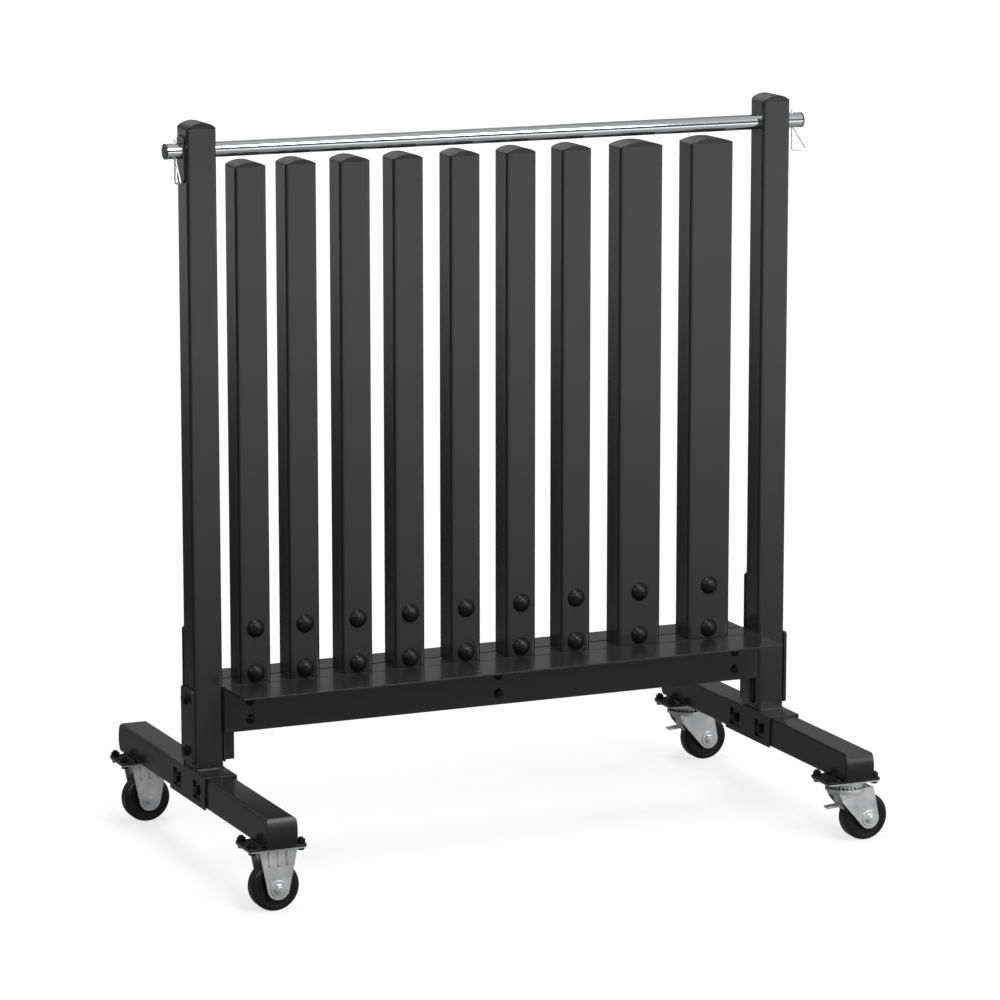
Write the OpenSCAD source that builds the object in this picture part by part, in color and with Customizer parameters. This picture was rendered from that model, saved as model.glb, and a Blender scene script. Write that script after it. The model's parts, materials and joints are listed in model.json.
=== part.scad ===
// Wheeled divider rack: two square uprights on T-shaped feet, a bolted shelf beam with nine
// upright posts, a round bar across the top held by wire clips, and four castors.
// +X runs along the rack, -Y is the front, +Z is up. The origin is on the floor, under the
// middle of the whole outline.

/* [Posts and gaps] */
// Width of a narrow post, along the rack
narrow_w = 53; // [40:1:60]
// Width of a wide post, along the rack
wide_w = 78; // [60:1:90]
// Depth of every post, front to back
post_d = 52; // [40:1:52]
// Clear gap on each side of the first post
gap_small = 33; // [28:1:44]
// Clear gap on each side of the third post's right neighbour
gap_medium = 40; // [34:1:52]
// Clear gap between the middle posts
gap_large = 47; // [40:1:60]
// Clear gap beside the wide posts
gap_wide = 52; // [44:1:66]
// Wall of the post tube
post_wall = 2; // [1.5:0.5:3]
// Rise of the arched cap on a post
post_cap_rise = 9; // [5:1:12]
// Radius of the rounded heel at the back foot of a narrow post
heel_r = 12; // [6:1:16]

/* [Uprights] */
// Width and depth of the square upright and foot tube
tube_w = 50; // [44:1:60]
// Wall of the upright and foot tube
tube_wall = 2.5; // [2:0.5:4]
// Height of the upright tube, from saddle to cap
upright_h = 1040; // [850:10:1250]
// Outside corner radius of the square tubes
tube_r = 6; // [1:0.5:7]
// Rise of the arched cap on an upright
cap_rise = 11; // [6:1:14]
// Length of a cap's plug inside its tube
plug_l = 12; // [6:1:12]

/* [Top bar] */
// Diameter of the round bar
bar_d = 25; // [20:1:28]
// Wall of the round bar
bar_wall = 1.5; // [1:0.5:3]
// Distance from the bar's axis up to the end of the upright tube
bar_drop = 35; // [30:1:45]
// Length of bar outside each upright
bar_overhang = 29; // [26:1:60]
// Offset of the bar towards the right end
bar_shift = 2; // [0:0.5:3]
// Free space between the bar and the post caps
bar_gap = 8.5; // [5:0.5:20]
// Thickness of the wear plate where the bar leaves an upright
bar_plate_t = 3; // [2:0.5:5]
// Depth of the wear plate, front to back
bar_plate_w = 30; // [28:1:40]
// Wear plate above the bar's axis
bar_plate_up = 24; // [18:1:28]
// Wear plate below the bar's axis
bar_plate_down = 50; // [30:1:70]
// Wire of the clips
wire_d = 2.8; // [2:0.2:4]
// Width of the clip's triangle
clip_w = 25; // [18:1:34]
// Reach of the clip below the bar
clip_drop = 38; // [24:1:45]

/* [Shelf] */
// Height of the shelf's top above the foot saddle
shelf_rise = 135; // [115:5:220]
// Depth of the beam, front to back
beam_d = 60; // [54:1:70]
// Height of the beam and of the shelf angles
beam_h = 76; // [68:1:100]
// Wall of the beam
beam_wall = 2.5; // [2:0.5:4]
// Thickness of the shelf angles
angle_t = 3; // [2:0.5:4]
// Depth of the front shelf leg
front_leg = 93; // [60:1:120]
// Depth of the rear shelf leg
rear_leg = 65; // [40:1:90]
// Distance of the outer shelf screws from the middle
screw_x = 440; // [300:10:450]
// Distance of the upper shelf screws below the shelf's top
screw_high = 27; // [18:1:30]
// Distance of the lower shelf screws below the shelf's top
screw_low = 57; // [45:1:64]

/* [Brackets and plates] */
// Thickness of the beam's end brackets
bracket_t = 3; // [2:0.5:5]
// Height of the end brackets and clamp plates
clamp_h = 122; // [116:1:134]
// Thickness of the outer clamp plates
clamp_t = 5; // [3:0.5:8]
// Distance between the two clamp bolts
clamp_pitch = 86; // [78:1:96]
// Width of the bracket's gusset under the beam
gusset_w = 19; // [14:1:30]
// Height of the rear stiffening plate on an upright
rear_plate_h = 237; // [180:1:300]
// Thickness of the rear stiffening plate
rear_plate_t = 5; // [3:0.5:8]

/* [Feet] */
// Length of the foot tube
foot_l = 682; // [540:2:820]
// Bulge of the foot's arched end caps
foot_cap_rise = 9; // [5:1:12]
// Thickness of the saddle over the foot tube
saddle_t = 3; // [2:0.5:5]
// Saddle in front of the upright
saddle_front = 50; // [45:1:70]
// Saddle behind the upright
saddle_back = 62; // [50:1:80]
// Distance between the two saddle bolts
saddle_pitch = 92; // [80:1:110]
// Width of the windows in the saddle
window_w = 36; // [24:1:40]
// Height of the windows in the saddle
window_h = 30; // [22:1:34]

/* [Castors] */
// Diameter of the wheels
wheel_d = 80; // [68:2:84]
// Width of the wheels
wheel_w = 30; // [24:1:34]
// Height of a castor from the floor to the top of its plate
castor_h = 106; // [104:1:130]
// Distance of a castor's middle from the rack's middle, front to back
castor_y = 298; // [240:2:310]
// Length of the castor plates, along the rack
plate_l = 97; // [92:1:110]
// Depth of the castor plates, front to back
plate_w = 66; // [62:1:80]
// Thickness of the welded mounting plates
plate_t = 4; // [3:0.5:6]
// Distance between the castor bolts, along the rack
castor_pitch_x = 82; // [82:1:92]
// Distance between the castor bolts, front to back
castor_pitch_y = 47; // [46:1:54]
// Offset of a fixed wheel towards the rack's middle
fixed_shift = 3; // [0:0.5:6]
// Trail of a swivel wheel behind its pivot
trail = 33; // [26:1:38]
// Thickness of the pressed castor steel
steel_t = 2.5; // [2:0.5:3.5]

/* [Fasteners] */
// Diameter of the frame and castor bolts
bolt_d = 8; // [6:1:8]
// Width across the flats of the hexagons
hex_w = 13; // [10:1:13]
// Diameter of the domed post bolts
dome_d = 31; // [20:1:32]
// Height of the domed heads
dome_h = 11; // [5:1:13]
// Height of the lower domed bolt above the shelf
dome_low = 17; // [15:1:25]
// Distance between the two domed bolts of a post
dome_pitch = 74; // [50:1:90]

/* [Hidden] */
$fn = 64;

// clearances
bar_fit = 0.08;      // bar in its holes, on the radius
axle_fit = 0.05;     // wheel hub on its axle, on the radius
wire_fit = 0.1;      // clip wire in the bar, on the radius
bolt_fit = 0.2;      // bolt in its hole, on the radius
plug_fit = 0.2;      // cap plug in its tube, on each side
saddle_fit = 0.3;    // saddle on the foot tube, on each side
side_gap = 0.4;      // moving faces beside each other
angle_gap = 1;       // shelf angles beside the uprights
race_gap = 0.3;      // balls in their race

// posts from left to right, and the gap on the left of each, then the last gap
post_widths = concat([for (i = [1:7]) narrow_w], [wide_w, wide_w]);
gaps = [gap_small, gap_small, gap_medium, gap_medium, gap_large, gap_large, gap_large,
        gap_wide, gap_wide, gap_wide];
function total(list, count) = count == 0 ? 0 : list[count - 1] + total(list, count - 1);
inner_w = total(gaps, len(gaps)) + total(post_widths, len(post_widths));
function post_x(i) = -inner_w / 2 + total(gaps, i + 1) + total(post_widths, i) + post_widths[i] / 2;

// heights
foot_z = castor_h + plate_t;
saddle_z = foot_z + tube_w + saddle_t;
eave_z = saddle_z + upright_h;
shelf_z = saddle_z + shelf_rise;
bar_z = eave_z - bar_drop;
post_top = bar_z - bar_d / 2 - bar_gap - post_cap_rise;
clamp_z = shelf_z - 2 - clamp_h / 2;
bracket_bottom = clamp_z - clamp_h / 2;

// straight rim of the arched caps, and the wall of their plugs
cap_rim = 0.8;
plug_wall = 2.5;

// places along the rack
upright_x = inner_w / 2 + tube_w / 2;
outer_x = inner_w / 2 + tube_w;
bar_end = outer_x + bar_overhang;
bar_plug_t = 2.5;
clip_x = outer_x + bar_plate_t + 11;
fixed_x = -upright_x + fixed_shift;
swivel_x = upright_x;
axle_z = wheel_d / 2;
wheel_max_x = swivel_x + trail + wheel_d / 2;
middle_x = (wheel_max_x + bar_shift - bar_end - bar_plug_t) / 2;

// places front to back
frame_y = tube_w / 2;
beam_y = -frame_y + beam_d / 2;
post_y = beam_y + 2;
post_front = post_y - post_d / 2;
saddle_l = saddle_front + tube_w + saddle_back;
saddle_y = (saddle_back - saddle_front) / 2;
gusset_y = -hex_w / 2 - 4 - bracket_t;

// fastener sizes
bolt_r = bolt_d / 2;
hex_r = hex_w / 2 / cos(30);
head_t = 5.5;
nut_t = 6.5;
washer_t = 1.5;
washer_r = hex_r + 1.5;
screw_r = 3;
screw_head_r = 8;
screw_head_t = 5;
recess_l = 9;
recess_w = 1.8;
recess_t = 3;
lug_t = 4;
lug_h = 112;
clamp_cut = 3;
bar_plate_cut = 5;

// castor sizes
castor_head_r = hex_w / 2 - 1;
pin_r = 4;
fork_gap = wheel_w / 2 + 7;
fork_out = fork_gap + steel_t;
boss_r = 13;
rib_r = 3.5;
rib_out = 2.5;
rib_pitch = 15;
rib_l = 24;
boss_t = 2;
axle_nut_t = 4.5;
hub_r = 24;
shoulder_r = 8;
tip_r = 18.5;
fork_top = castor_h - steel_t;
fixed_half = 32;
crown_r = 34;
race_r = 26;
ball_r = 2.5;
dish_t = 5;
crown_z = fork_top - dish_t - 2 * (ball_r + race_gap);
crown_t = 5;
leg_back = sqrt(crown_r * crown_r - fork_out * fork_out);
pedal_pin = [-15, crown_z - crown_t - 8];
pedal_bend = pedal_pin + [3, -18];
pedal_tip = [-36, axle_z + 20];
pedal_shoe = [trail - wheel_d / 2 - 1, axle_z + 17];
pedal_t = 3;
pedal_pin_r = 2.5;
pedal_sleeve_r = 4.5;
pedal_w = 2 * fork_gap - 6;
tongue_w = 16;
shoe_w = 24;

black = [0.07, 0.07, 0.075];
dark = [0.12, 0.12, 0.125];
zinc = [0.72, 0.73, 0.74];
chrome = [0.82, 0.83, 0.85];
rubber = [0.05, 0.05, 0.05];

// ---------- general shapes ----------

module rounded(w, d, r) {
    square([w - 2 * r, d], center = true);
    square([w, d - 2 * r], center = true);
    for (x = [-1, 1], y = [-1, 1]) {
        translate([x * (w / 2 - r), y * (d / 2 - r)]) circle(r, $fn = 32);
    }
}

module tube(w, d, wall, r, h) {
    linear_extrude(h) difference() {
        rounded(w, d, r);
        rounded(w - 2 * wall, d - 2 * wall, max(r - wall, 0.5));
    }
}

// arched block: w wide in X, d deep in Y, an arc on a low straight rim, rise high in all
module arch(w, d, rise) {
    bulge = rise - cap_rim;
    r = (w * w / 4 + bulge * bulge) / (2 * bulge);
    intersection() {
        rotate([90, 0, 0]) linear_extrude(d + 2, center = true) intersection() {
            translate([0, rise - r]) circle(r, $fn = 128);
            translate([-w / 2 - 1, 0]) square([w + 2, rise]);
        }
        linear_extrude(rise + 1) rounded(w, d, tube_r);
    }
}

// arched cap with the plug that holds it in its tube
module cap(w, d, wall, rise) {
    arch(w, d, rise);
    plug_w = w - 2 * wall - 2 * plug_fit;
    plug_d = d - 2 * wall - 2 * plug_fit;
    translate([0, 0, -plug_l]) linear_extrude(plug_l) difference() {
        rounded(plug_w, plug_d, max(tube_r - wall, 1));
        rounded(plug_w - 2 * plug_wall, plug_d - 2 * plug_wall, 1);
    }
}

module hexagon(t) {
    cylinder(r = hex_r, h = t, $fn = 6);
}

module nut() {
    difference() {
        hexagon(nut_t);
        translate([0, 0, -1]) cylinder(r = bolt_r, h = nut_t + 2);
    }
}

// bolt along +Z: head below z = 0, shank above
module hex_bolt(l, washer = true) {
    lift = washer ? washer_t : 0;
    cylinder(r = bolt_r, h = l);
    translate([0, 0, -lift - head_t]) hexagon(head_t);
    if (washer) translate([0, 0, -washer_t]) cylinder(r = washer_r, h = washer_t);
}

// screw along +Z with a domed cross-recess head below z = 0
module pan_screw(l) {
    sphere_r = (screw_head_r * screw_head_r + screw_head_t * screw_head_t) / (2 * screw_head_t);
    cylinder(r = screw_r, h = l);
    difference() {
        intersection() {
            translate([0, 0, sphere_r - screw_head_t]) sphere(sphere_r, $fn = 48);
            translate([0, 0, -screw_head_t]) cylinder(r = screw_head_r, h = screw_head_t);
        }
        for (a = [0, 90]) {
            rotate([0, 0, a]) translate([-recess_l / 2, -recess_w / 2, -screw_head_t - 0.1])
                cube([recess_l, recess_w, recess_t]);
        }
    }
}

// plate in the YZ plane with two cut corners on top and two below
module cut_plate(t, w, h, cut) {
    rotate([90, 0, 90]) linear_extrude(t) polygon([
        [-w / 2, cut], [-w / 2 + cut, 0], [w / 2 - cut, 0], [w / 2, cut],
        [w / 2, h - cut], [w / 2 - cut, h], [-w / 2 + cut, h], [-w / 2, h - cut]
    ]);
}

// mirror a left-hand piece to the side s, -1 left or 1 right
module on_side(s) {
    if (s < 0) children();
    else mirror([1, 0, 0]) children();
}

// ---------- frame ----------

module upright(s) {
    color(black) on_side(s) difference() {
        translate([-upright_x, 0, saddle_z]) tube(tube_w, tube_w, tube_wall, tube_r, upright_h);
        translate([-outer_x - 1, 0, bar_z]) rotate([0, 90, 0])
            cylinder(r = bar_d / 2 + bar_fit, h = tube_w + 2);
        for (z = [-1, 1]) {
            translate([-outer_x - 1, 0, clamp_z + z * clamp_pitch / 2]) rotate([0, 90, 0])
                cylinder(r = bolt_r + bolt_fit, h = tube_w + 2);
        }
    }
}

module upright_caps() {
    color(dark) for (s = [-1, 1]) {
        translate([s * upright_x, 0, eave_z]) cap(tube_w, tube_w, tube_wall, cap_rise);
    }
}

module bar_plates() {
    color(dark) for (s = [-1, 1]) on_side(s) difference() {
        translate([-outer_x - bar_plate_t, 0, bar_z - bar_plate_down])
            cut_plate(bar_plate_t, bar_plate_w, bar_plate_up + bar_plate_down, bar_plate_cut);
        translate([-outer_x - bar_plate_t - 1, 0, bar_z]) rotate([0, 90, 0])
            cylinder(r = bar_d / 2 + bar_fit, h = bar_plate_t + 2);
    }
}

module saddle(s) {
    inner = tube_w + 2 * saddle_fit;
    color(black) on_side(s) translate([-upright_x, saddle_y, foot_z]) difference() {
        translate([-inner / 2 - saddle_t, -saddle_l / 2, 0])
            cube([inner + 2 * saddle_t, saddle_l, tube_w + saddle_t]);
        translate([-inner / 2, -saddle_l / 2 - 1, -1]) cube([inner, saddle_l + 2, tube_w + 1]);
        for (y = [-1, 1]) {
            translate([-tube_w, y * saddle_pitch / 2 - window_w / 2, (tube_w - window_h) / 2])
                cube([2 * tube_w, window_w, window_h]);
        }
    }
}

module foot(s) {
    color(black) on_side(s) translate([-upright_x, 0, foot_z + tube_w / 2]) difference() {
        rotate([90, 0, 0]) translate([0, 0, -foot_l / 2])
            tube(tube_w, tube_w, tube_wall, tube_r, foot_l);
        for (y = [-1, 1]) {
            translate([-tube_w, saddle_y + y * saddle_pitch / 2, 0]) rotate([0, 90, 0])
                cylinder(r = bolt_r + bolt_fit, h = 2 * tube_w);
        }
    }
}

module foot_caps() {
    color(dark) for (s = [-1, 1], y = [-1, 1]) {
        translate([s * upright_x, y * foot_l / 2, foot_z + tube_w / 2])
            rotate([-90 * y, 90, 0]) cap(tube_w, tube_w, tube_wall, foot_cap_rise);
    }
}

module saddle_bolts() {
    color(dark) for (s = [-1, 1], y = [-1, 1]) {
        translate([s * upright_x - frame_y, saddle_y + y * saddle_pitch / 2, foot_z + frame_y])
            rotate([0, 90, 0]) hex_bolt(tube_w + nut_t + 4);
    }
}

module rear_plates() {
    color(black) for (s = [-1, 1]) {
        translate([s * upright_x, frame_y + rear_plate_t, saddle_z]) rotate([90, 0, 0])
            linear_extrude(rear_plate_t) polygon([
                [-frame_y, 0], [frame_y, 0], [frame_y, rear_plate_h - 10],
                [frame_y - 10, rear_plate_h], [-frame_y + 10, rear_plate_h],
                [-frame_y, rear_plate_h - 10]
            ]);
    }
}

// ---------- shelf ----------

shelf_screws_at = [for (x = [-1, 0, 1], z = [screw_high, screw_low]) [x * screw_x, shelf_z - z]];

module beam() {
    l = inner_w - 2 * bracket_t;
    color(black) difference() {
        translate([-l / 2, beam_y, shelf_z - beam_h / 2]) rotate([90, 0, 90])
            tube(beam_d, beam_h, beam_wall, tube_r, l);
        for (p = shelf_screws_at) {
            translate([p[0], beam_y - beam_d, p[1]]) rotate([-90, 0, 0])
                cylinder(r = screw_r + bolt_fit, h = 2 * beam_d);
        }
    }
}

// side is -1 for the front angle and 1 for the rear one
module shelf_angle(side, leg) {
    face = beam_y + side * beam_d / 2;
    l = inner_w - 2 * angle_gap;
    color(black) difference() {
        union() {
            translate([-l / 2, min(face, face + side * leg), shelf_z - angle_t])
                cube([l, leg, angle_t]);
            translate([-l / 2, min(face, face + side * angle_t), shelf_z - beam_h])
                cube([l, angle_t, beam_h]);
        }
        for (p = shelf_screws_at) {
            translate([p[0], face - 2 * angle_t, p[1]]) rotate([-90, 0, 0])
                cylinder(r = screw_r + bolt_fit, h = 4 * angle_t);
        }
    }
}

module shelf_screws() {
    color(dark) for (side = [-1, 1], p = shelf_screws_at) {
        translate([p[0], beam_y + side * (beam_d / 2 + angle_t), p[1]])
            rotate([side * 90, 0, 0]) pan_screw(angle_t + beam_wall + 7);
    }
}

module shelf_nuts() {
    color(zinc) for (side = [-1, 1], p = shelf_screws_at) {
        translate([p[0], beam_y + side * (beam_d / 2 - beam_wall), p[1]])
            rotate([side * 90, 0, 0]) difference() {
                cylinder(r = 5, h = 5.5);
                translate([0, 0, -1]) cylinder(r = screw_r, h = 8);
            }
    }
}

module end_bracket(s) {
    color(black) on_side(s) difference() {
        union() {
            translate([-inner_w / 2, -frame_y, bracket_bottom])
                cube([bracket_t, beam_d, shelf_z - bracket_bottom]);
            translate([-inner_w / 2, gusset_y, bracket_bottom])
                cube([bracket_t + gusset_w, bracket_t, shelf_z - beam_h - bracket_bottom]);
        }
        for (z = [-1, 1]) {
            translate([-inner_w / 2 - 1, 0, clamp_z + z * clamp_pitch / 2]) rotate([0, 90, 0])
                cylinder(r = bolt_r + bolt_fit, h = bracket_t + 2);
        }
    }
}

module clamp_plate(s) {
    color(black) on_side(s) difference() {
        translate([-outer_x - clamp_t, 0, bracket_bottom])
            cut_plate(clamp_t, tube_w, clamp_h, clamp_cut);
        for (z = [-1, 1]) {
            translate([-outer_x - clamp_t - 1, 0, clamp_z + z * clamp_pitch / 2])
                rotate([0, 90, 0]) cylinder(r = bolt_r + bolt_fit, h = clamp_t + 2);
        }
    }
}

module clamp_bolts() {
    color(dark) for (s = [-1, 1], z = [-1, 1]) on_side(s) {
        translate([-outer_x - clamp_t, 0, clamp_z + z * clamp_pitch / 2]) rotate([0, 90, 0])
            hex_bolt(clamp_t + tube_w + bracket_t + nut_t + 4);
    }
}

module hex_nuts() {
    color(zinc) {
        for (s = [-1, 1], z = [-1, 1]) on_side(s) {
            translate([-inner_w / 2 + bracket_t, 0, clamp_z + z * clamp_pitch / 2])
                rotate([0, 90, 0]) nut();
        }
        for (s = [-1, 1], y = [-1, 1]) {
            translate([s * upright_x + frame_y, saddle_y + y * saddle_pitch / 2, foot_z + frame_y])
                rotate([0, 90, 0]) nut();
        }
        for (i = [0 : len(post_widths) - 1], z = dome_heights) {
            translate([post_x(i), post_front + post_wall + lug_t, z]) rotate([-90, 0, 0]) nut();
        }
    }
}

// ---------- posts ----------

dome_heights = [shelf_z + dome_low, shelf_z + dome_low + dome_pitch];

module post(i) {
    w = post_widths[i];
    h = post_top - shelf_z;
    color(black) translate([post_x(i), post_y, shelf_z]) difference() {
        tube(w, post_d, post_wall, tube_r, h);
        for (z = dome_heights) {
            translate([0, -post_d / 2 - 1, z - shelf_z]) rotate([-90, 0, 0])
                cylinder(r = bolt_r + bolt_fit, h = post_wall + 2);
        }
        if (w == narrow_w) heel_cut(w);
    }
}

// rounds off the lower back edge of a post that stands on z = 0
module heel_cut(w) {
    translate([-w / 2 - 1, post_d / 2 - heel_r, 0]) difference() {
        translate([0, 0, -1]) cube([w + 2, heel_r + 1, heel_r + 1]);
        translate([-1, 0, heel_r]) rotate([0, 90, 0]) cylinder(r = heel_r, h = w + 4);
    }
}

module post_caps() {
    color(dark) for (i = [0 : len(post_widths) - 1]) {
        translate([post_x(i), post_y, post_top])
            cap(post_widths[i], post_d, post_wall, post_cap_rise);
    }
}

// flat lugs that stand on the beam inside the posts
module post_lugs() {
    color(black) for (i = [0 : len(post_widths) - 1]) {
        w = post_widths[i] - 2 * post_wall - 2 * tube_r;
        translate([post_x(i), post_front + post_wall, shelf_z]) difference() {
            translate([-w / 2, 0, 0]) cube([w, lug_t, lug_h]);
            for (z = dome_heights) {
                translate([0, -1, z - shelf_z]) rotate([-90, 0, 0])
                    cylinder(r = bolt_r + bolt_fit, h = lug_t + 2);
            }
        }
    }
}

module dome_bolt() {
    r = (dome_d * dome_d / 4 + dome_h * dome_h) / (2 * dome_h);
    intersection() {
        translate([0, 0, r - dome_h]) sphere(r, $fn = 64);
        translate([0, 0, -dome_h]) cylinder(r = dome_d / 2, h = dome_h);
    }
    cylinder(r = bolt_r, h = post_wall + lug_t + nut_t + 3);
}

module dome_bolts() {
    color(dark) for (i = [0 : len(post_widths) - 1], z = dome_heights) {
        translate([post_x(i), post_front, z]) rotate([-90, 0, 0]) dome_bolt();
    }
}

// ---------- top bar ----------

module top_bar() {
    color(chrome) difference() {
        translate([bar_shift - bar_end, 0, bar_z]) rotate([0, 90, 0]) difference() {
            cylinder(r = bar_d / 2, h = 2 * bar_end, $fn = 96);
            translate([0, 0, -1]) cylinder(r = bar_d / 2 - bar_wall, h = 2 * bar_end + 2);
        }
        for (s = [-1, 1]) {
            translate([bar_shift + s * clip_x, 0, bar_z - bar_d])
                cylinder(r = wire_d / 2 + wire_fit, h = 2 * bar_d);
        }
    }
}

module bar_plugs() {
    color(dark) for (s = [-1, 1]) translate([bar_shift + s * bar_end, 0, bar_z]) {
        rotate([0, s * 90, 0]) cylinder(r = bar_d / 2, h = bar_plug_t);
        rotate([0, -s * 90, 0]) cylinder(r = bar_d / 2 - bar_wall - bar_fit, h = 8);
    }
}

// wire triangle in the XZ plane: a straight leg on x = 0 and a sloping leg beside it
clip_top = bar_d / 2 + 7;
clip_bend = 4;
clip_bottom = -bar_d / 2 - clip_drop;
clip_end = [clip_bend, -bar_d / 2 - wire_d / 2 - side_gap];

module wire(from, to) {
    v = to - from;
    translate([from[0], 0, from[1]]) rotate([0, atan2(v[0], v[1]), 0])
        cylinder(r = wire_d / 2, h = norm(v), $fn = 32);
}

module clip() {
    corner = [clip_w, clip_bottom + clip_bend];
    color(zinc) {
        wire([0, clip_bottom + clip_bend], [0, clip_top - wire_d / 2]);
        translate([0, 0, clip_top - wire_d / 2]) sphere(wire_d / 2, $fn = 32);
        translate([clip_bend, 0, clip_bottom + clip_bend]) rotate([90, 180, 0])
            rotate_extrude(angle = 90) translate([clip_bend, 0]) circle(wire_d / 2, $fn = 32);
        wire([clip_bend, clip_bottom], [clip_w - clip_bend, clip_bottom]);
        translate([clip_w - clip_bend, 0, clip_bottom + clip_bend]) rotate([90, 90, 0])
            rotate_extrude(angle = 90) translate([clip_bend, 0]) circle(wire_d / 2, $fn = 32);
        translate([corner[0], 0, corner[1]]) sphere(wire_d / 2, $fn = 32);
        wire(corner, clip_end);
        translate([clip_end[0], 0, clip_end[1]]) sphere(wire_d / 2, $fn = 32);
    }
}

module left_clip() {
    translate([bar_shift - clip_x, 0, bar_z]) rotate([0, 0, -90]) clip();
}

module right_clip() {
    translate([bar_shift + clip_x, 0, bar_z]) clip();
}

// ---------- castors ----------

castor_spots = [for (s = [-1, 1], y = [-1, 1]) [s * upright_x, y * castor_y]];

module castor_bolt_holes(h) {
    for (x = [-1, 1], y = [-1, 1]) {
        translate([x * castor_pitch_x / 2, y * castor_pitch_y / 2, -h])
            cylinder(r = bolt_r + bolt_fit, h = 2 * h);
    }
}

module castor_plates() {
    color(black) for (p = castor_spots) translate([p[0], p[1], castor_h]) difference() {
        linear_extrude(plate_t) rounded(plate_l, plate_w, 4);
        castor_bolt_holes(10);
    }
}

module castor_bolts() {
    color(dark) for (p = castor_spots, x = [-1, 1], y = [-1, 1]) {
        translate([p[0] + x * castor_pitch_x / 2, p[1] + y * castor_pitch_y / 2, fork_top]) {
            cylinder(r = bolt_r, h = steel_t + plate_t + nut_t + 3);
            translate([0, 0, -4]) cylinder(r = castor_head_r, h = 4);
        }
    }
}

module castor_nuts() {
    color(dark) for (p = castor_spots, x = [-1, 1], y = [-1, 1]) {
        translate([p[0] + x * castor_pitch_x / 2, p[1] + y * castor_pitch_y / 2, foot_z]) nut();
    }
}

// point where the line from p touches the circle of radius r about c, on the given side
function touch(p, c, r, side) =
    let (v = p - c, d = norm(v), a = acos(r / d) * side, n = v / d)
    c + r * [n[0] * cos(a) - n[1] * sin(a), n[0] * sin(a) + n[1] * cos(a)];

// pressed top plate of a castor
module top_plate() {
    translate([0, 0, fork_top]) difference() {
        linear_extrude(steel_t) rounded(plate_l - 2, plate_w - 2, 4);
        castor_bolt_holes(10);
    }
}

// outline in XZ of a fixed fork's leg, around the axle at c
module fixed_leg(c) {
    left = [c[0] - fixed_half, fork_top];
    right = [c[0] + fixed_half, fork_top];
    polygon([left, touch(left, c, tip_r, 1), c, touch(right, c, tip_r, -1), right]);
    translate(c) circle(tip_r);
}

module leg_pair(hole) {
    for (y = [-1, 1]) difference() {
        union() {
            translate([0, y * (fork_gap + steel_t / 2), 0]) rotate([90, 0, 0])
                linear_extrude(steel_t, center = true) children();
            translate([hole[0], y * fork_out, hole[1]]) rotate([-90 * y, 0, 0])
                cylinder(r = boss_r, h = boss_t);
        }
        translate([hole[0], 0, hole[1]]) rotate([-90 * y, 0, 0])
            cylinder(r = pin_r + axle_fit, h = 3 * fork_gap);
    }
}

module fixed_forks() {
    color(zinc) for (y = [-1, 1]) {
        translate([-upright_x, y * castor_y, 0]) top_plate();
        translate([fixed_x, y * castor_y, 0]) {
            leg_pair([0, axle_z]) fixed_leg([0, axle_z]);
            translate([-fixed_half, -fork_out, fork_top - steel_t])
                cube([2 * fixed_half, 2 * fork_out, steel_t]);
            for (side = [-1, 1], x = [-rib_pitch, 0, rib_pitch]) {
                translate([x, side * (fork_out - rib_r + rib_out), fork_top - rib_l])
                    rib(rib_l);
            }
        }
    }
}

// upright pressed rib with a round foot
module rib(l) {
    cylinder(r = rib_r, h = l, $fn = 48);
    sphere(rib_r, $fn = 48);
}

// axle bolt with its nut at the front and a domed head at the back
module axle() {
    end = fork_out + boss_t;
    mirror([0, 1, 0]) rotate([90, 0, 0]) {
        translate([0, 0, -end - axle_nut_t - 2]) cylinder(r = pin_r, h = 2 * end + axle_nut_t + 2);
        translate([0, 0, end]) cylinder(r1 = 8, r2 = 6.5, h = 3);
        translate([0, 0, end + 3]) cylinder(r = 3.2, h = 1.5);
    }
    translate([0, -end, 0]) rotate([90, 0, 0]) difference() {
        hexagon(axle_nut_t);
        translate([0, 0, -1]) cylinder(r = pin_r, h = axle_nut_t + 2);
    }
}

module fixed_axles() {
    color(zinc) for (y = [-1, 1]) translate([fixed_x, y * castor_y, axle_z]) axle();
}

module swivel_axle(y) {
    color(zinc) translate([swivel_x + trail, y * castor_y, axle_z]) axle();
}

module tyre() {
    r = shoulder_r;
    ring = wheel_d / 2 - hub_r;
    rotate([90, 0, 0]) rotate_extrude($fn = 96) difference() {
        union() {
            translate([hub_r, -wheel_w / 2]) square([ring - r, wheel_w]);
            translate([hub_r, -wheel_w / 2 + r]) square([ring, wheel_w - 2 * r]);
            for (y = [-1, 1]) {
                translate([wheel_d / 2 - r, y * (wheel_w / 2 - r)]) circle(r, $fn = 48);
            }
        }
        for (y = [-1, 1]) {
            translate([wheel_d / 2 - r - 2, y * wheel_w / 2]) square([1.6, 1.6], center = true);
        }
    }
}

module hub() {
    bore = pin_r + axle_fit;
    boss = fork_gap - side_gap;
    rotate([90, 0, 0]) rotate_extrude($fn = 96) {
        translate([bore, -boss]) square([6, 2 * boss]);
        translate([bore, -6]) square([hub_r - bore, 12]);
        translate([hub_r - 4, -wheel_w / 2 + 2]) square([4, wheel_w - 4]);
    }
}

module wheel_at(x, y) {
    translate([x, y * castor_y, axle_z]) children();
}

// plate and upper race of a swivel castor, with the kingpin
module swivel_plates() {
    color(zinc) for (y = [-1, 1]) translate([swivel_x, y * castor_y, 0]) {
        top_plate();
        translate([0, 0, fork_top - dish_t]) cylinder(r = race_r + 5, h = dish_t + 0.01);
        translate([0, 0, crown_z - crown_t - 1]) cylinder(r = 6, h = fork_top - crown_z + crown_t + 1);
        translate([0, 0, crown_z - crown_t - 4]) cylinder(r = 9, h = 4 - side_gap);
    }
}

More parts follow.
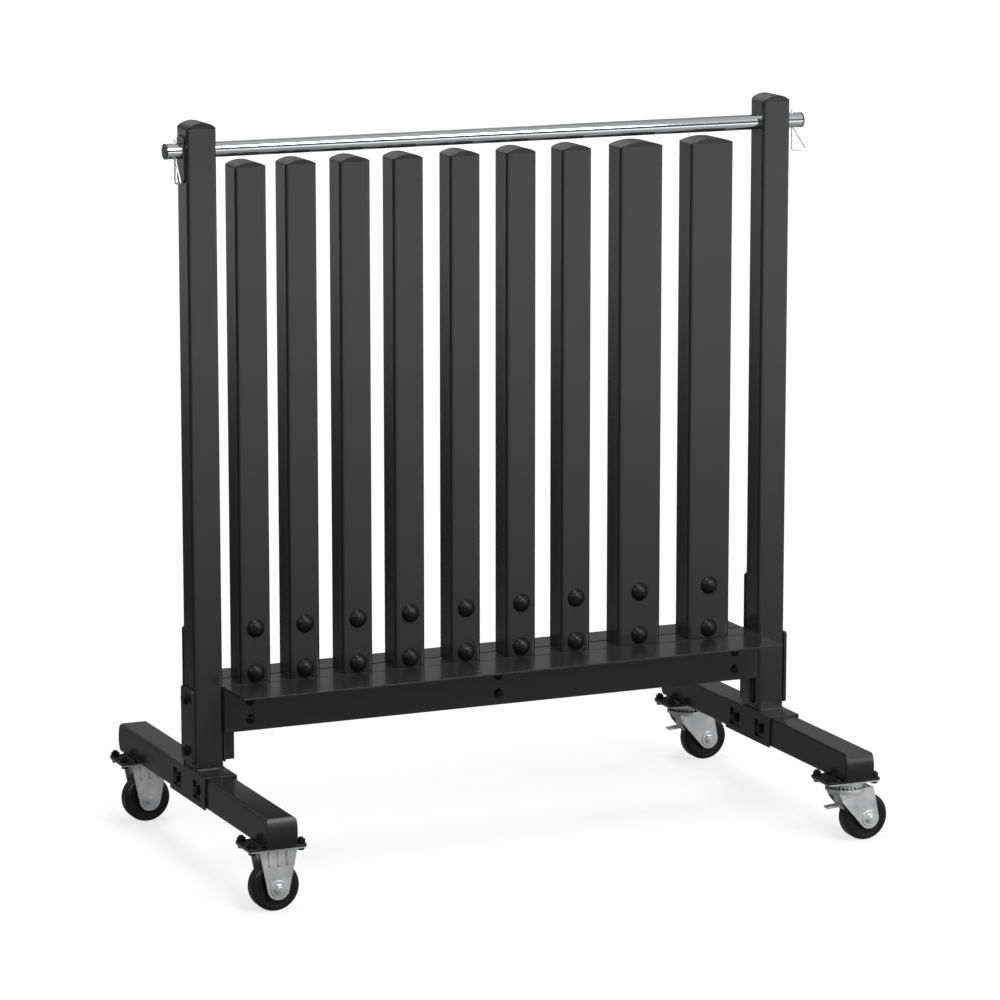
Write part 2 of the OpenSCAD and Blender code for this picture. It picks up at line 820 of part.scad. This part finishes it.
module race_balls() {
    count = 24;
    color(chrome) for (y = [-1, 1], k = [0 : count - 1]) {
        translate([swivel_x, y * castor_y, crown_z + race_gap + ball_r])
            rotate([0, 0, k * 360 / count]) translate([race_r, 0, 0]) sphere(ball_r, $fn = 24);
    }
}

// outline in XZ of a swivel fork's leg, around the axle at c
module swivel_leg(c) {
    lead = [-18, c[1] + 32];
    rear = [c[0] + 7, crown_z];
    polygon([
        [-leg_back, crown_z], [-leg_back, crown_z - crown_t - 3], lead,
        touch(lead, c, tip_r - 1, 1), c, touch(rear, c, tip_r - 1, -1), rear
    ]);
    translate(c) circle(tip_r - 1);
}

module swivel_fork(y) {
    c = [trail, axle_z];
    color(zinc) translate([swivel_x, y * castor_y, 0]) difference() {
        union() {
            leg_pair(c) swivel_leg(c);
            translate([0, 0, crown_z - crown_t]) cylinder(r = crown_r, h = crown_t, $fn = 96);
            translate([0, -fork_out, crown_z - crown_t])
                cube([trail + 7, 2 * fork_out, crown_t]);
            translate([pedal_pin[0], 0, pedal_pin[1]]) rotate([90, 0, 0])
                cylinder(r = pedal_pin_r, h = 2 * fork_out + 2, center = true);
        }
        translate([0, 0, crown_z - crown_t - 1]) cylinder(r = 6 + axle_fit, h = crown_t + 2);
    }
}

function side(v) = [-v[1], v[0]] / norm(v);
function mitre(a, b, c) = let (m = side(b - a) + side(c - b)) m / (m * side(b - a));

// flat strip that bends at the middle one of three points
module bent_strip(a, b, c, t) {
    polygon([
        a + side(b - a) * t / 2, b + mitre(a, b, c) * t / 2, c + side(c - b) * t / 2,
        c - side(c - b) * t / 2, b - mitre(a, b, c) * t / 2, a - side(b - a) * t / 2
    ]);
}

module strip(a, b, t) {
    n = side(b - a) * t / 2;
    polygon([a + n, b + n, b - n, a - n]);
}

// pedal on a round sleeve: a steep plate with a brake shoe that points at the wheel, and a tongue
module pedal(y) {
    color(zinc) translate([swivel_x, y * castor_y, 0]) rotate([90, 0, 0]) difference() {
        union() {
            linear_extrude(pedal_w, center = true) translate(pedal_pin) circle(pedal_sleeve_r);
            linear_extrude(shoe_w, center = true)
                bent_strip(pedal_pin, pedal_bend, pedal_shoe, pedal_t);
            linear_extrude(tongue_w, center = true) strip(pedal_bend, pedal_tip, pedal_t);
        }
        translate([pedal_pin[0], pedal_pin[1], -pedal_w])
            cylinder(r = pedal_pin_r + axle_fit, h = 2 * pedal_w);
    }
}

// moves the model so that the origin is under the middle of its outline
module placed() {
    translate([-middle_x, 0, 0]) children();
}

placed() upright(-1);  // left_upright
placed() upright(1);  // right_upright
placed() upright_caps();
placed() bar_plates();
placed() saddle(-1);  // left_saddle
placed() saddle(1);  // right_saddle
placed() foot(-1);  // left_foot
placed() foot(1);  // right_foot
placed() foot_caps();
placed() saddle_bolts();
placed() beam();
placed() shelf_angle(-1, front_leg);  // front_angle
placed() shelf_angle(1, rear_leg);  // rear_angle
placed() end_bracket(-1);  // left_end_bracket
placed() end_bracket(1);  // right_end_bracket
placed() clamp_plate(-1);  // left_clamp_plate
placed() clamp_plate(1);  // right_clamp_plate
placed() clamp_bolts();
placed() hex_nuts();
placed() rear_plates();
placed() shelf_screws();
placed() shelf_nuts();
placed() post(0);  // post_1
placed() post(1);  // post_2
placed() post(2);  // post_3
placed() post(3);  // post_4
placed() post(4);  // post_5
placed() post(5);  // post_6
placed() post(6);  // post_7
placed() post(7);  // post_8
placed() post(8);  // post_9
placed() post_caps();
placed() post_lugs();
placed() dome_bolts();
placed() castor_plates();
placed() castor_bolts();
placed() castor_nuts();
placed() top_bar();
placed() bar_plugs();
placed() left_clip();
placed() right_clip();
placed() fixed_forks();
placed() fixed_axles();
placed() wheel_at(fixed_x, -1) color(rubber) tyre();  // left_front_tyre
placed() wheel_at(fixed_x, -1) color(dark) hub();  // left_front_hub
placed() wheel_at(fixed_x, 1) color(rubber) tyre();  // left_rear_tyre
placed() wheel_at(fixed_x, 1) color(dark) hub();  // left_rear_hub
placed() wheel_at(swivel_x + trail, -1) color(rubber) tyre();  // right_front_tyre
placed() wheel_at(swivel_x + trail, -1) color(dark) hub();  // right_front_hub
placed() wheel_at(swivel_x + trail, 1) color(rubber) tyre();  // right_rear_tyre
placed() wheel_at(swivel_x + trail, 1) color(dark) hub();  // right_rear_hub
placed() swivel_plates();
placed() race_balls();
placed() swivel_fork(-1);  // right_front_fork
placed() swivel_fork(1);  // right_rear_fork
placed() swivel_axle(-1);  // right_front_axle
placed() swivel_axle(1);  // right_rear_axle
placed() pedal(-1);  // right_front_pedal
placed() pedal(1);  // right_rear_pedal
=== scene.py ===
"""Looks of the wheeled divider rack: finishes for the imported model, weld beads, studio light and
the camera. Lengths are in metres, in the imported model's frame."""

import json
import math

import bmesh
import bpy
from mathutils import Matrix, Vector


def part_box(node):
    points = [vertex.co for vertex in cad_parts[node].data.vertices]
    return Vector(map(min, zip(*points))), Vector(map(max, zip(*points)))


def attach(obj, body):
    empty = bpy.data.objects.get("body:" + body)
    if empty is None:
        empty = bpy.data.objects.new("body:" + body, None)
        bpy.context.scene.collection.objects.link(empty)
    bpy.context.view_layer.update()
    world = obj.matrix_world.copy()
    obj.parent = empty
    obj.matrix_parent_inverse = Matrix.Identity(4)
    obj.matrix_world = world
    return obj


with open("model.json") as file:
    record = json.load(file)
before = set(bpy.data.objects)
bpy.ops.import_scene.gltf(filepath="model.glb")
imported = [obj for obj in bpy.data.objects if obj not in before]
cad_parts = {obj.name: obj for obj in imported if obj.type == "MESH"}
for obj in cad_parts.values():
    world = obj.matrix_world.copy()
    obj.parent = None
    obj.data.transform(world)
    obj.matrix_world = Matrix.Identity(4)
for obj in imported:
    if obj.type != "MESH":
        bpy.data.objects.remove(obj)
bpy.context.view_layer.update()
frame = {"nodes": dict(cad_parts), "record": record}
nodes = frame["nodes"]


# ---------------------------------------------------------------- node helpers


class Shader:
    """A material being built. Each call adds one node and returns its output socket."""

    def __init__(self, name):
        self.material = bpy.data.materials.new(name)
        self.material.use_nodes = True
        self.tree = self.material.node_tree
        self.tree.nodes.clear()
        self.output = self.tree.nodes.new("ShaderNodeOutputMaterial")

    def node(self, kind, inputs=None, **settings):
        made = self.tree.nodes.new(kind)
        for key, value in settings.items():
            setattr(made, key, value)
        for key, value in (inputs or {}).items():
            if isinstance(value, bpy.types.NodeSocket):
                self.tree.links.new(value, made.inputs[key])
            else:
                made.inputs[key].default_value = value
        return made

    def position(self, scale=(1, 1, 1)):
        place = self.node("ShaderNodeTexCoord").outputs["Object"]
        return self.node("ShaderNodeMapping", {"Vector": place, "Scale": scale}).outputs[0]

    def noise(self, scale, detail=3.0, roughness=0.5, stretch=(1, 1, 1), distortion=0.0):
        return self.node(
            "ShaderNodeTexNoise",
            {
                "Vector": self.position(stretch),
                "Scale": scale,
                "Detail": detail,
                "Roughness": roughness,
                "Distortion": distortion,
            },
        ).outputs["Fac"]

    def span(self, value, low, high, to_low, to_high):
        """Maps value from low..high to to_low..to_high, held at the ends."""
        return self.node(
            "ShaderNodeMapRange",
            {
                "Value": value,
                "From Min": low,
                "From Max": high,
                "To Min": to_low,
                "To Max": to_high,
            },
        ).outputs[0]

    def math(self, operation, a, b=0.0):
        return self.node("ShaderNodeMath", {0: a, 1: b}, operation=operation).outputs[0]

    def mix(self, factor, a, b):
        """Colour between a and b. Sockets 0, 6 and 7 are the factor and the two colours."""
        made = self.node("ShaderNodeMix", data_type="RGBA")
        for key, value in ((0, factor), (6, a), (7, b)):
            if isinstance(value, bpy.types.NodeSocket):
                self.tree.links.new(value, made.inputs[key])
            elif key:
                made.inputs[key].default_value = (*value, 1.0)
            else:
                made.inputs[key].default_value = value
        return made.outputs[2]

    def bump(self, height, strength, distance, normal=None):
        inputs = {"Height": height, "Strength": strength, "Distance": distance}
        if normal is not None:
            inputs["Normal"] = normal
        return self.node("ShaderNodeBump", inputs).outputs[0]

    def soft_edges(self, radius):
        return self.node("ShaderNodeBevel", {"Radius": radius}, samples=6).outputs[0]

    def edge_mask(self, radius, low, high):
        """1 near sharp edges, 0 on flat faces."""
        flat = self.node("ShaderNodeNewGeometry").outputs["Normal"]
        dot = self.node(
            "ShaderNodeVectorMath", {0: self.soft_edges(radius), 1: flat}, operation="DOT_PRODUCT"
        ).outputs["Value"]
        return self.span(dot, high, low, 0.0, 1.0)

    def finish(self, **inputs):
        sockets = {name.replace("_", " "): value for name, value in inputs.items()}
        surface = self.node("ShaderNodeBsdfPrincipled", sockets)
        self.tree.links.new(surface.outputs[0], self.output.inputs["Surface"])
        return self.material


# ---------------------------------------------------------------- materials


# radius of the softened edges of each material
STEEL_EDGE_R = 0.0009
PLASTIC_EDGE_R = 0.0008
ZINC_EDGE_R = 0.0006
RUBBER_EDGE_R = 0.0008

WORN_EDGE_COLOUR = (0.14, 0.14, 0.145)
PLASTIC_GLOSS = 0.32


def powder_coat(name, tone, roughness, grain, wear, gloss):
    """Satin black powder coat: faint orange peel, a little cloudy sheen, lighter worn edges."""
    s = Shader(name)
    clouds = s.noise(1.8, 2.0, 0.5)
    specks = s.noise(700.0, 2.0, 0.6)
    scuffs = s.span(s.noise(30.0, 5.0, 0.7, (1.0, 1.0, 0.2), 0.6), 0.64, 0.80, 0.0, 1.0)
    dark, light = [tuple(tone * k for _ in range(3)) for k in (0.92, 1.1)]
    base = s.mix(s.span(clouds, 0.3, 0.7, 0.0, 1.0), dark, light)
    base = s.mix(s.math("MULTIPLY", specks, 0.2), base, (tone * 1.5,) * 3)
    base = s.mix(s.math("MULTIPLY", scuffs, 0.08), base, (tone * 2.5,) * 3)
    edges = s.edge_mask(0.0010, 0.80, 0.97)
    patchy = s.span(s.noise(55.0, 4.0, 0.7), 0.35, 0.65, 0.15, 1.0)
    worn = s.math("MULTIPLY", s.math("MULTIPLY", edges, patchy), wear)
    base = s.mix(worn, base, WORN_EDGE_COLOUR)
    sheen = s.span(s.noise(5.0, 3.0, 0.5), 0.25, 0.75, roughness - 0.012, roughness + 0.018)
    sheen = s.math("ADD", sheen, s.math("MULTIPLY", scuffs, 0.03))
    peel = s.bump(s.noise(420.0, 2.0, 0.5), grain, 0.0004, s.soft_edges(STEEL_EDGE_R))
    return s.finish(Base_Color=base, Roughness=sheen, Normal=peel, Specular_IOR_Level=gloss)


def moulded_plastic(name, tone, roughness):
    """Black moulded plastic with a fine eroded texture and faint flow marks, and a painted
    highlight along its edges.
    """
    s = Shader(name)
    flow = s.noise(9.0, 2.0, 0.5, (1.0, 1.0, 0.3), 0.8)
    base = s.mix(s.span(flow, 0.3, 0.7, 0.0, 1.0), (tone * 0.9,) * 3, (tone * 1.1,) * 3)
    # painted highlight: every edge is lightened towards 4.5 times the tone, as a light line along
    # the edge
    edges = s.math("MULTIPLY", s.edge_mask(0.0012, 0.82, 0.98), 0.35)
    base = s.mix(edges, base, (tone * 4.5,) * 3)
    rough = s.span(s.noise(8.0, 3.0, 0.5), 0.25, 0.75, roughness - 0.02, roughness + 0.03)
    grain = s.bump(s.noise(900.0, 2.0, 0.7), 0.06, 0.0003, s.soft_edges(PLASTIC_EDGE_R))
    return s.finish(
        Base_Color=base, Roughness=rough, Normal=grain, Specular_IOR_Level=PLASTIC_GLOSS
    )


def zinc_plate(name, tone, roughness):
    """Bright zinc plating: drawn grain, cloudy passivation and small handling marks."""
    s = Shader(name)
    cloud = s.noise(45.0, 4.0, 0.6, (1.0, 1.0, 1.0), 0.4)
    grain = s.noise(160.0, 5.0, 0.7, (1.0, 1.0, 0.12))
    base = s.mix(s.span(cloud, 0.3, 0.7, 0.0, 1.0), (tone * 0.86, tone * 0.87, tone * 0.9),
                 (tone * 1.05, tone * 1.05, tone * 1.03))
    base = s.mix(s.span(grain, 0.55, 0.8, 0.0, 0.25), base, (tone * 0.55,) * 3)
    rough = s.span(cloud, 0.25, 0.75, roughness - 0.07, roughness + 0.1)
    drawn = s.bump(grain, 0.10, 0.0003, s.soft_edges(ZINC_EDGE_R))
    return s.finish(Base_Color=base, Metallic=1.0, Roughness=rough, Normal=drawn)


def chrome(name):
    """Polished chrome bar: mirror surface with fine lengthwise polishing lines and smudges."""
    s = Shader(name)
    lines = s.noise(260.0, 4.0, 0.7, (0.02, 1.0, 1.0))
    smudge = s.noise(18.0, 4.0, 0.6, (0.4, 1.0, 1.0), 0.8)
    base = s.mix(s.span(smudge, 0.35, 0.7, 0.0, 1.0), (0.80, 0.81, 0.82), (0.72, 0.73, 0.75))
    rough = s.span(smudge, 0.3, 0.75, 0.03, 0.08)
    fine = s.bump(lines, 0.02, 0.0001)
    return s.finish(Base_Color=base, Metallic=1.0, Roughness=rough, Normal=fine)


def wheel_rubber(name):
    """Dark wheel rubber, a little dusty on the tread, with faint turning lines."""
    s = Shader(name)
    dust = s.noise(60.0, 5.0, 0.7)
    base = s.mix(s.span(dust, 0.45, 0.75, 0.0, 0.5), (0.005,) * 3, (0.014,) * 3)
    rough = s.span(dust, 0.3, 0.7, 0.28, 0.45)
    fine = s.bump(s.noise(520.0, 3.0, 0.6), 0.10, 0.0003, s.soft_edges(RUBBER_EDGE_R))
    return s.finish(Base_Color=base, Roughness=rough, Normal=fine)


FINISHES = {
    "black_steel": powder_coat(
        "black_powder_coat", tone=0.018, roughness=0.21, grain=0.012, wear=0.40, gloss=0.50
    ),
    "black_cap": moulded_plastic("black_moulding", tone=0.015, roughness=0.30),
    "black_fastener": powder_coat(
        "black_fastener", tone=0.006, roughness=0.36, grain=0.03, wear=0.20, gloss=0.24
    ),
    "zinc": zinc_plate("zinc_plate", tone=0.86, roughness=0.48),
    "chrome": chrome("polished_chrome"),
    "tyre": wheel_rubber("wheel_rubber"),
    "hub": moulded_plastic("hub_plastic", tone=0.012, roughness=0.34),
}

for subpart in frame["record"]["subparts"]:
    mesh = nodes[subpart["node"]].data
    mesh.materials.clear()
    mesh.materials.append(FINISHES[subpart["material_slot"]])


# ---------------------------------------------------------------- weld beads


BEAD_STEP = 0.0009
BEAD_SIDES = 10
RIPPLE_LENGTH = 0.0032
RIPPLE_DEPTH = 0.13


def resampled(points, step):
    """Points about one step apart along the open line through the given points."""
    line = [Vector(points[0])]
    for start, end in zip(points, points[1:]):
        start, end = Vector(start), Vector(end)
        count = max(1, round((end - start).length / step))
        line += [start.lerp(end, k / count) for k in range(1, count + 1)]
    return line


def weld_bead(name, points, radius):
    """Rippled round bead along a line of points, closed at both ends, riding on the frame."""
    line = resampled(points, BEAD_STEP)
    rings, travelled = [], 0.0
    build = bmesh.new()
    for k, centre in enumerate(line):
        before, after = line[max(k - 1, 0)], line[min(k + 1, len(line) - 1)]
        along = (after - before).normalized()
        side = along.orthogonal().normalized()
        if abs(along.z) < 0.9:
            side = Vector((0.0, 0.0, 1.0))
        other = along.cross(side).normalized()
        travelled += (centre - before).length
        wave = math.cos(travelled / RIPPLE_LENGTH * 2.0 * math.pi)
        size = radius * (1.0 - RIPPLE_DEPTH + RIPPLE_DEPTH * wave)
        rings.append([
            build.verts.new(centre + (side * math.cos(turn) + other * math.sin(turn)) * size)
            for turn in (2.0 * math.pi * j / BEAD_SIDES for j in range(BEAD_SIDES))
        ])
    for low, high in zip(rings, rings[1:]):
        for j in range(BEAD_SIDES):
            nxt = (j + 1) % BEAD_SIDES
            build.faces.new((low[j], low[nxt], high[nxt], high[j]))
    build.faces.new(rings[0])
    build.faces.new(rings[-1])
    bmesh.ops.recalc_face_normals(build, faces=build.faces)
    mesh = bpy.data.meshes.new(name)
    build.to_mesh(mesh)
    build.free()
    mesh.shade_smooth()
    mesh.materials.append(FINISHES["black_steel"])
    bead = bpy.data.objects.new(name, mesh)
    bpy.context.scene.collection.objects.link(bead)
    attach(bead, "frame")


WELD_R = 0.0026
GUSSET_WELD_R = WELD_R * 0.8
TUBE_R = 0.006
CASTOR_PLATE_D = 0.066
PLATE_WELD_INSET = 0.006
BRACKET_WELD_INSET = 0.004
GUSSET_WELD_INSET = 0.003
GUSSET_WELD_Y = -0.0135


def upright_welds():
    """Round three sides of each upright's foot, where it stands on its saddle."""
    for side in ("left", "right"):
        low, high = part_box(side + "_upright")
        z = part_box(side + "_saddle")[1][2]
        back = high[1] - TUBE_R
        weld_bead(
            side + "_upright_weld",
            [
                (low[0], back, z), (low[0], low[1] + TUBE_R, z), (low[0] + TUBE_R, low[1], z),
                (high[0] - TUBE_R, low[1], z), (high[0], low[1] + TUBE_R, z), (high[0], back, z),
            ],
            WELD_R,
        )


def castor_plate_welds():
    """Along both sides of the foot tubes, over the castor plates."""
    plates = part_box("castor_plates")
    for side in ("left", "right"):
        low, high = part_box(side + "_foot")
        for end, edge, inward in (("front", plates[0][1], 1), ("rear", plates[1][1], -1)):
            start = edge + inward * PLATE_WELD_INSET
            stop = edge + inward * (CASTOR_PLATE_D - PLATE_WELD_INSET)
            for name, x in (("outer", low[0]), ("inner", high[0])):
                weld_bead(
                    f"{side}_{end}_{name}_plate_weld",
                    [(x, start, low[2]), (x, stop, low[2])],
                    WELD_R,
                )


def bracket_welds():
    """Down the beam's end brackets, beside the gusset under the beam."""
    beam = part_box("beam")
    for side, x in (("left", beam[0][0]), ("right", beam[1][0])):
        bottom = beam[0][2]
        front, back = beam[0][1] + BRACKET_WELD_INSET, beam[1][1] - BRACKET_WELD_INSET
        weld_bead(side + "_bracket_weld", [(x, front, bottom), (x, back, bottom)], WELD_R)
        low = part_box(side + "_end_bracket")[0][2] + GUSSET_WELD_INSET
        high = bottom - GUSSET_WELD_INSET
        weld_bead(
            side + "_gusset_weld",
            [(x, GUSSET_WELD_Y, low), (x, GUSSET_WELD_Y, high)],
            GUSSET_WELD_R,
        )


upright_welds()
castor_plate_welds()
bracket_welds()


# ---------------------------------------------------------------- floor, light, camera


FLOOR_MATT = 0.30
FLOOR_HALF = 30.0
WORLD_LEVEL = 0.9
LAMP_AIM = Vector((0.0, 0.0, 0.6))

# name, place, width, height, power in watts
SOFTBOXES = (
    ("top_box", (-0.3, 0.05, 3.6), 3.1, 0.9, 70),
    ("front_box", (1.0, -4.0, 3.9), 2.9, 1.6, 150),
    ("right_box", (4.2, -4.9, 1.9), 1.6, 1.4, 90),
    ("left_box", (-4.0, -1.5, 3.0), 1.6, 1.6, 30),
    ("back_box", (1.0, 4.4, 3.4), 2.6, 1.4, 9),
)

# brightness of the floor in reflections, by distance from the rack in metres
FLOOR_NEAR = ((0.0, 0.15), (0.45, 0.15), (0.62, 0.17), (1.0, 0.17), (2.2, 0.03), (25.0, 0.03))
FLOOR_FRONT = ((0.0, 0.0), (1.2, 0.16), (2.2, 0.45), (3.9, 0.78), (5.5, 1.25), (9.5, 1.90),
               (11.5, 1.70), (13.0, 0.12), (25.0, 0.12))
FLOOR_BACK = ((0.0, 0.0), (2.2, 0.05), (3.9, 0.12), (5.3, 0.45), (7.5, 0.90), (25.0, 0.90))
FRONT_SIDE = Vector((0.41, -0.91, 0.0))
RIGHT_SIDE = Vector((0.91, 0.41, 0.0))
BACK_SIDE = Vector((0.20, 0.98, 0.0))

# brightness of the room by the height of a direction, from level to straight up
ROOM_FRONT = ((0.0, 0.10), (0.22, 0.08), (0.36, 0.60), (0.60, 0.75), (0.80, 0.50), (1.0, 0.60))
ROOM_BACK_RIGHT = ((0.0, 0.24), (0.35, 0.26), (0.50, 0.30), (0.90, 0.34), (1.0, 0.60))
ROOM_BACK_LEFT = ((0.0, 0.14), (0.35, 0.16), (0.50, 0.30), (0.90, 0.34), (1.0, 0.60))


def ramp(shader, value, stops):
    """Grey level along a list of (place, level) stops."""
    reach = stops[-1][0]
    made = shader.node("ShaderNodeValToRGB", {"Fac": shader.math("DIVIDE", value, reach)})
    elements = made.color_ramp.elements
    elements[0].position, elements[1].position = 0.0, 1.0
    elements[0].color = (stops[0][1],) * 3 + (1.0,)
    elements[1].color = (stops[-1][1],) * 3 + (1.0,)
    for place, level in stops[1:-1]:
        elements.new(place / reach).color = (level,) * 3 + (1.0,)
    return made.outputs["Color"]


def towards(shader, vector, direction):
    """Cosine between a vector's level part and a level direction."""
    level = shader.node(
        "ShaderNodeVectorMath", {0: vector, 1: (1.0, 1.0, 0.0)}, operation="MULTIPLY"
    )
    unit = shader.node("ShaderNodeVectorMath", {0: level.outputs[0]}, operation="NORMALIZE")
    return shader.node(
        "ShaderNodeVectorMath", {0: unit.outputs[0], 1: direction}, operation="DOT_PRODUCT"
    ).outputs["Value"]


def floor_material():
    """White floor that keeps the rack's soft shadow; in reflections its level follows the ramps."""
    s = Shader("studio_floor")
    path = s.node("ShaderNodeLightPath").outputs
    place = s.node("ShaderNodeTexCoord").outputs["Object"]
    reach = s.node("ShaderNodeVectorMath", {0: place}, operation="LENGTH").outputs["Value"]
    glow = s.span(reach, 1.0, 8.0, 1.0 - FLOOR_MATT * 0.9, 1.0)
    front = s.span(towards(s, place, FRONT_SIDE), 0.0, 0.8, 0.03, 1.0)
    back = s.span(towards(s, place, BACK_SIDE), 0.70, 0.95, 0.0, 1.0)
    front = s.math("MULTIPLY", front, ramp(s, reach, FLOOR_FRONT))
    back = s.math("MULTIPLY", back, ramp(s, reach, FLOOR_BACK))
    sheen = s.math("ADD", s.math("ADD", front, back), ramp(s, reach, FLOOR_NEAR))
    seen = s.math("MAXIMUM", path["Is Camera Ray"], path["Is Transmission Ray"])
    level = s.math(
        "ADD", s.math("MULTIPLY", seen, glow), s.math("MULTIPLY", path["Is Glossy Ray"], sheen)
    )
    hidden = s.math("MULTIPLY", path["Is Glossy Ray"], FLOOR_MATT)
    matt_level = s.math("SUBTRACT", FLOOR_MATT, hidden)
    grey = s.node("ShaderNodeCombineXYZ", {0: matt_level, 1: matt_level, 2: matt_level})
    matt = s.node("ShaderNodeBsdfDiffuse", {"Color": grey.outputs[0]})
    light = s.node("ShaderNodeEmission", {"Strength": level})
    both = s.node("ShaderNodeAddShader", {0: matt.outputs[0], 1: light.outputs[0]})
    s.tree.links.new(both.outputs[0], s.output.inputs["Surface"])
    return s.material


def studio_floor():
    mesh = bpy.data.meshes.new("studio_floor")
    signs = ((-1, -1), (1, -1), (1, 1), (-1, 1))
    corners = [(x * FLOOR_HALF, y * FLOOR_HALF, 0.0) for x, y in signs]
    mesh.from_pydata(corners, [], [(0, 1, 2, 3)])
    mesh.materials.append(floor_material())
    floor = bpy.data.objects.new("studio_floor", mesh)
    bpy.context.scene.collection.objects.link(floor)


class WorldShader(Shader):
    """The same node helper, working on a world's tree."""

    def __init__(self, name):
        self.world = bpy.data.worlds.new(name)
        self.world.use_nodes = True
        self.tree = self.world.node_tree
        self.tree.nodes.clear()
        self.output = self.tree.nodes.new("ShaderNodeOutputWorld")


def studio_world():
    """White to the camera; to the object a dimmer studio whose level changes with height."""
    s = WorldShader("studio_world")
    direction = s.node("ShaderNodeTexCoord").outputs["Generated"]
    height = s.node("ShaderNodeSeparateXYZ", {0: direction}).outputs["Z"]
    front = s.span(towards(s, direction, FRONT_SIDE), -0.5, 0.5, 0.0, 1.0)
    right = s.span(towards(s, direction, RIGHT_SIDE), -0.1, 0.6, 0.0, 1.0)
    back = s.mix(right, ramp(s, height, ROOM_BACK_LEFT), ramp(s, height, ROOM_BACK_RIGHT))
    level = s.mix(front, back, ramp(s, height, ROOM_FRONT))
    room = s.node("ShaderNodeBackground", {"Color": level, "Strength": WORLD_LEVEL})
    white = s.node("ShaderNodeBackground", {"Color": (1.0, 1.0, 1.0, 1.0), "Strength": 1.0})
    seen = s.node("ShaderNodeLightPath").outputs["Is Camera Ray"]
    both = s.node("ShaderNodeMixShader", {0: seen, 1: room.outputs[0], 2: white.outputs[0]})
    s.tree.links.new(both.outputs[0], s.output.inputs["Surface"])
    bpy.context.scene.world = s.world


def softbox(name, place, width, height, power):
    lamp = bpy.data.lights.new(name, "AREA")
    lamp.shape = "RECTANGLE"
    lamp.size, lamp.size_y = width, height
    lamp.energy = power
    made = bpy.data.objects.new(name, lamp)
    made.location = place
    made.rotation_euler = (LAMP_AIM - Vector(place)).to_track_quat("-Z", "Y").to_euler()
    made.visible_camera = False
    bpy.context.scene.collection.objects.link(made)


studio_floor()
studio_world()
for lamp_row in SOFTBOXES:
    softbox(*lamp_row)

CAMERA_PLACE = Vector((-3.03025, -6.827, 2.018))
CAMERA_AIM = Vector((0.00645, 0.0, 0.562))
CAMERA_LENS = 165.7
SENSOR_WIDTH = 36.0
CLIP_END = 200.0


def photo_camera():
    lens = bpy.data.cameras.new("photo_camera")
    lens.lens = CAMERA_LENS
    lens.sensor_width = SENSOR_WIDTH
    lens.clip_end = CLIP_END
    camera = bpy.data.objects.new("photo_camera", lens)
    camera.location = CAMERA_PLACE
    camera.rotation_euler = (CAMERA_AIM - CAMERA_PLACE).to_track_quat("-Z", "Y").to_euler()
    bpy.context.scene.collection.objects.link(camera)
    bpy.context.scene.camera = camera
    bpy.context.scene.view_settings.view_transform = "Standard"


photo_camera()
